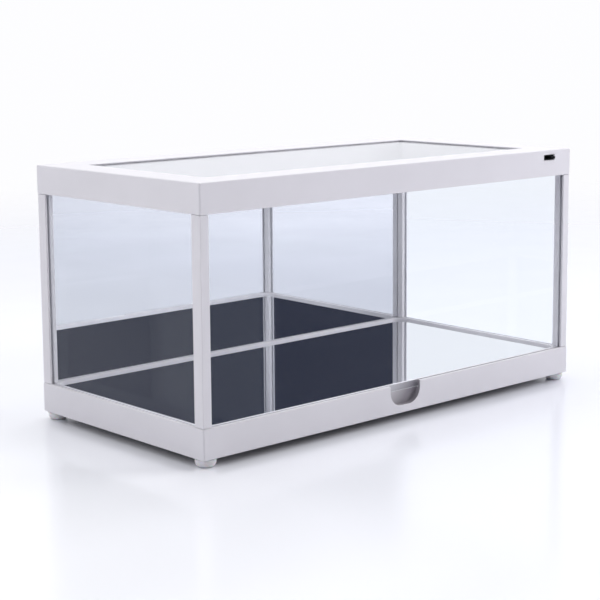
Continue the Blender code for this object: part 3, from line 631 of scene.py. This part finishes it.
def make_led_board(node, materials):
    """A white board with surface-mounted LEDs, their resistors and solder pads, all facing down."""
    low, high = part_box(node)
    board_low, middle = low.z + LED_HEIGHT, (low.y + high.y) / 2
    half_x, half_y = (high.x - low.x) / 2, (high.y - low.y) / 2
    centre = Vector(((low.x + high.x) / 2, middle, 0.0))
    edge = [(centre.x + x, centre.y + y) for x, y in rounded_rectangle(half_x, half_y, 0.8 * MM)]
    form = stack_form([[(x, y, z) for x, y in edge] for z in (board_low, high.z)])
    for i in range(LED_COUNT):
        x = centre.x + (i - (LED_COUNT - 1) / 2) * LED_PITCH
        rings = []
        for half, radius, z in (
            (1.45, 0.25, board_low + 0.1 * MM), (1.45, 0.25, low.z + 0.06 * MM), (1.39, 0.22, low.z),
            (1.12, 0.35, low.z), (0.95, 0.35, low.z + 0.30 * MM),
        ):
            points = rounded_rectangle(half * MM, half * MM, radius * MM, 3)
            rings.append([(x + px, middle + py, z) for px, py in points])
        before = len(form.faces)
        stack_form(rings, form)
        form.faces.ensure_lookup_table()
        for face in list(form.faces)[before:]:
            face.material_index = 1
        list(form.faces)[-1].material_index = 2
        for sx in (-1, 1):
            add_block(form, (x + sx * 1.75 * MM, middle, board_low), (0.45, 2.2, 0.10), 3)
        if i < LED_COUNT - 1:
            part = x + LED_PITCH / 2
            add_block(form, (part, middle, board_low), (1.0, 0.8, 0.90), 4)
            for sx in (-1, 1):
                add_block(form, (part + sx * 0.68 * MM, middle, board_low), (0.42, 0.84, 0.94), 3)
    parts = ["board", "cream", "phosphor", "steel", "ceramic"]
    add_piece(f"populated_{node}", form, [materials[k] for k in parts], "lid", [node])


def add_block(form, top_middle, size, material_index):
    """A small block that hangs from a point. size is in millimetres."""
    before = len(form.faces)
    x, y, z = top_middle
    wide, deep, tall = (side * MM for side in size)
    low = (x - wide / 2, y - deep / 2, z - tall)
    box_form(low, (x + wide / 2, y + deep / 2, z + 0.05 * MM), form)
    for face in list(form.faces)[before:]:
        face.material_index = material_index


def make_lights_in_lid(materials):
    for side in ("front", "back"):
        make_led_board(f"led_board_{side}", materials)
        node = f"light_diffuser_{side}"
        finished(node, f"frosted_{node}", materials["diffuser"], 0.2 * MM, 3)


def make_switch(materials):
    """A slide switch with a rounded bezel round its slot, and a knob with finger ribs."""
    low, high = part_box("switch_body")
    knob_low, knob_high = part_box("switch_knob")
    middle = (low + high) / 2
    half_x, half_z = (high.x - low.x) / 2, (high.z - low.z) / 2
    bezel, ease, step = 5.8 * MM, 0.25 * MM, low.y + 2.0 * MM
    slot_x, slot_z = 4.55 * MM, (knob_high.z - knob_low.z) / 2 + 0.3 * MM
    rings = [
        outline_on_face(middle, half_x - ease, half_z - ease, 0.3 * MM, high.y),
        outline_on_face(middle, half_x, half_z, 0.5 * MM, high.y - ease),
        outline_on_face(middle, half_x, half_z, 0.5 * MM, step),
        outline_on_face(middle, bezel, half_z, 1.5 * MM, step),
        outline_on_face(middle, bezel, half_z, 1.5 * MM, low.y + ease),
        outline_on_face(middle, bezel - 0.3 * ease, half_z - 0.3 * ease, 1.4 * MM, low.y + 0.3 * ease),
        outline_on_face(middle, bezel - ease, half_z - ease, 1.3 * MM, low.y),
        outline_on_face(middle, slot_x, slot_z, 0.3 * MM, low.y),
        outline_on_face(middle, slot_x, slot_z, 0.3 * MM, low.y + 4.7 * MM),
    ]
    black = [materials["black"]]
    add_piece("bezelled_switch_body", stack_form(rings), black, "lid", ["switch_body"])
    outline = [(knob_low.x, knob_high.y), (knob_high.x, knob_high.y), (knob_high.x, knob_low.y + 0.5 * MM)]
    ribs, width, rib_foot = 4, knob_high.x - knob_low.x - 0.6 * MM, knob_low.y + 0.35 * MM
    for i in range(ribs):
        right = knob_high.x - 0.3 * MM - width * i / ribs
        left = right - 0.6 * width / ribs
        outline += [(right, knob_low.y), (left, knob_low.y)]
        if i < ribs - 1:
            outline += [(left - 0.08 * MM, rib_foot), (left - 0.3 * MM, rib_foot)]
    outline.append((knob_low.x, knob_low.y + 0.5 * MM))
    form = stack_form([[(x, y, z) for x, y in outline] for z in (knob_low.z, knob_high.z)])
    round_edges(form, 0.06 * MM)
    add_piece("ribbed_switch_knob", form, black, "switch_knob", ["switch_knob"])


def make_socket(materials):
    """A drawn metal shell with a rolled mouth, a black tongue and gold contacts on both sides of it."""
    low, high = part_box("power_socket")
    middle = (low + high) / 2
    half_x, half_z, wall, roll = (high.x - low.x) / 2, (high.z - low.z) / 2, 0.45 * MM, 0.15 * MM
    round_out, round_in = half_z - 0.1 * MM, half_z - 0.1 * MM - wall
    rings = [
        outline_on_face(middle, half_x - 0.3 * MM, half_z - 0.3 * MM, round_out - 0.3 * MM, low.y),
        outline_on_face(middle, half_x, half_z, round_out, low.y + 0.3 * MM),
        outline_on_face(middle, half_x, half_z, round_out, high.y - roll),
        outline_on_face(middle, half_x - roll, half_z - roll, round_out - roll, high.y),
        outline_on_face(middle, half_x - wall + roll, half_z - wall + roll, round_in + roll, high.y),
        outline_on_face(middle, half_x - wall, half_z - wall, round_in, high.y - roll),
        outline_on_face(middle, half_x - wall, half_z - wall, round_in, low.y + 1.0 * MM),
    ]
    form = stack_form(rings)
    tongue_low = (low.x + 1.6 * MM, low.y + 0.9 * MM, middle.z - 0.35 * MM)
    tongue_high = (high.x - 1.6 * MM, high.y - 1.1 * MM, middle.z + 0.35 * MM)
    before = len(form.faces)
    box_form(tongue_low, tongue_high, form)
    for face in list(form.faces)[before:]:
        face.material_index = 1
    for i in range(6):
        x = middle.x + (i - 2.5) * 0.8 * MM
        before = len(form.faces)
        contact_low = (x - 0.15 * MM, low.y + 1.2 * MM, middle.z - 0.39 * MM)
        box_form(contact_low, (x + 0.15 * MM, high.y - 1.5 * MM, middle.z + 0.39 * MM), form)
        for face in list(form.faces)[before:]:
            face.material_index = 2
    finishes = [materials["steel"], materials["black"], materials["gold"]]
    add_piece("drawn_power_socket", form, finishes, "lid", ["power_socket"])


def make_wires(materials):
    """Each internal wire is a loosely twisted pair in two colours."""
    for name, guide in WIRE_GUIDES.items():
        points = [Vector((x, y, z)) * MM + Vector((0.0, CASE_MIDDLE.y, 0.0)) for x, y, z in guide]
        line = smooth_line(points)
        lengths = [0.0]
        for first, second in zip(line, line[1:]):
            lengths.append(lengths[-1] + (second - first).length)
        for colour, start in (("insulation", 0.0), ("red", math.pi)):
            strand = []
            for i, point in enumerate(line):
                along = (line[min(i + 1, len(line) - 1)] - line[max(i - 1, 0)]).normalized()
                side = along.cross(Vector((0.0, 0.0, 1.0))).normalized()
                other = along.cross(side)
                a = start + 2 * math.pi * lengths[i] / TWIST_PITCH
                strand.append(point + WIRE_STRAND * (side * math.cos(a) + other * math.sin(a)))
            form = tube_form(strand, 0.9 * WIRE_STRAND)
            piece_name = f"{name}_{colour}_strand"
            add_piece(piece_name, form, [materials[colour]], "lid", [name])


def make_stage():
    """A white tabletop that fades into the backdrop far away, with painted shade: darker and bluer to the
    right.
    """
    form = bmesh.new()
    bmesh.ops.create_circle(form, cap_ends=True, segments=96, radius=6.0)
    mesh = bpy.data.meshes.new("studio_floor")
    form.to_mesh(mesh)
    form.free()
    floor = bpy.data.objects.new("studio_floor", mesh)
    bpy.context.scene.collection.objects.link(floor)
    floor.location = (CASE_MIDDLE.x, CASE_MIDDLE.y, CAD_LOW.z - 0.02 * MM)
    made, tree, shader = new_material("studio_floor", 0.16, IOR=1.45)
    polish = spread(tree, noise(tree, 6.0, 3.0), 0.13, 0.20)
    place = place_on_object(tree)
    across = add_node(tree, "ShaderNodeSeparateXYZ", {0: place}).outputs["X"]
    # Painted shade across the tabletop: lighter to the left, darker and bluer to the right.
    shade = spread(tree, across, 0.0, 1.0, -0.35, 0.35)
    connect(tree, shader, blend_colours(tree, shade, (0.97, 0.975, 1.0), (0.84, 0.85, 0.93)), polish)
    distance = add_node(tree, "ShaderNodeVectorMath", {0: place}, operation="LENGTH").outputs["Value"]
    fade = add_node(
        tree, "ShaderNodeMapRange",
        {"Value": distance, "From Min": 0.4, "From Max": 1.7, "To Min": 0.0, "To Max": 1.0},
        interpolation_type="SMOOTHSTEP",
    )
    open_air = add_node(tree, "ShaderNodeBsdfTransparent")
    faded = add_node(
        tree, "ShaderNodeMixShader",
        {0: fade.outputs["Result"], 1: shader.outputs["BSDF"], 2: open_air.outputs["BSDF"]},
    )
    tree.links.new(faded.outputs["Shader"], tree.nodes["Material Output"].inputs["Surface"])
    mesh.materials.append(made)


def smooth_step(tree, value, start, end):
    inputs = {"Value": value, "From Min": start, "From Max": end, "To Min": 0.0, "To Max": 1.0}
    step = add_node(tree, "ShaderNodeMapRange", inputs, interpolation_type="SMOOTHSTEP")
    return step.outputs["Result"]


def multiply(tree, first, second):
    return add_node(tree, "ShaderNodeMath", {0: first, 1: second}, operation="MULTIPLY").outputs[0]


def make_world():
    """A white studio whose upper front side is dim, which is what the mirror floor shows."""
    world = bpy.data.worlds.new("studio")
    bpy.context.scene.world = world
    world.use_nodes = True
    tree = world.node_tree
    tree.nodes.clear()
    direction = add_node(tree, "ShaderNodeTexCoord").outputs["Generated"]
    split = add_node(tree, "ShaderNodeSeparateXYZ", {0: direction})
    height = split.outputs["Z"]
    forward = multiply(tree, split.outputs["Y"], -1.0)
    above = smooth_step(tree, height, math.sin(math.radians(1.5)), math.sin(math.radians(9)))
    below = smooth_step(tree, height, math.sin(math.radians(60)), math.sin(math.radians(32)))
    dim = multiply(tree, multiply(tree, above, below), smooth_step(tree, forward, 0.1, 0.5))
    to_front = smooth_step(tree, forward, 0.1, 0.6)
    walls = blend_colours(tree, to_front, (0.94, 0.95, 0.99), (0.76, 0.755, 0.82))
    studio = blend_colours(tree, dim, walls, (0.016, 0.020, 0.040))
    backdrop = add_node(tree, "ShaderNodeBackground", {"Color": (0.985, 0.985, 1.0, 1.0), "Strength": 1.0})
    lit = add_node(tree, "ShaderNodeBackground", {"Color": studio, "Strength": 1.0})
    path = add_node(tree, "ShaderNodeLightPath")
    strength = spread(tree, path.outputs["Is Diffuse Ray"], 1.0, AMBIENT, 0.0, 1.0)
    tree.links.new(strength, lit.inputs["Strength"])
    seen = path.outputs["Is Camera Ray"]
    mixed = add_node(tree, "ShaderNodeMixShader", {0: seen, 1: lit.outputs[0], 2: backdrop.outputs[0]})
    output = add_node(tree, "ShaderNodeOutputWorld")
    tree.links.new(mixed.outputs[0], output.inputs["Surface"])


def add_softbox(name, place, aim, size, power):
    data = bpy.data.lights.new(name, "AREA")
    data.shape = "RECTANGLE"
    data.size, data.size_y = size
    data.energy = power
    light = bpy.data.objects.new(name, data)
    light.location = place
    light.rotation_mode = "QUATERNION"
    light.rotation_quaternion = (Vector(aim) - Vector(place)).to_track_quat("-Z", "Y")
    bpy.context.scene.collection.objects.link(light)
    light.visible_camera = False
    return light


def make_lights():
    """A large softbox above, and two at the sides that the mirrors don't show."""
    middle = (0.0, 0.0, 0.08)
    add_softbox("overhead_softbox", (0.15, 0.25, 1.5), middle, (1.5, 1.2), 12.8)
    right = add_softbox("right_softbox", (1.15, -0.85, 0.60), middle, (0.7, 0.7), 12.0)
    left = add_softbox("left_softbox", (-1.0, -0.05, 0.75), middle, (0.7, 0.7), 1.4)
    for side in (right, left):
        side.visible_glossy = False
        side.visible_transmission = False


def make_camera():
    data = bpy.data.cameras.new("camera")
    data.sensor_width = 36.0
    data.lens = CAMERA_LENS
    data.shift_y = CAMERA_SHIFT
    data.clip_end = 50.0
    camera = bpy.data.objects.new("camera", data)
    look = (CAMERA_AIM - CAMERA_PLACE).to_track_quat("-Z", "Y").to_matrix().to_4x4()
    camera.matrix_world = Matrix.Translation(CAMERA_PLACE) @ look @ Matrix.Rotation(CAMERA_ROLL, 4, "Z")
    bpy.context.scene.collection.objects.link(camera)
    bpy.context.scene.camera = camera


def main():
    bpy.context.scene.view_settings.view_transform = "Standard"
    make_camera()
    make_world()
    make_lights()
    make_stage()
    materials = make_materials()
    make_frames(materials)
    make_sheets(materials)
    make_feet(materials)
    make_screws(materials)
    make_lights_in_lid(materials)
    make_switch(materials)
    make_socket(materials)
    make_wires(materials)


main()
bpy.context.view_layer.update()
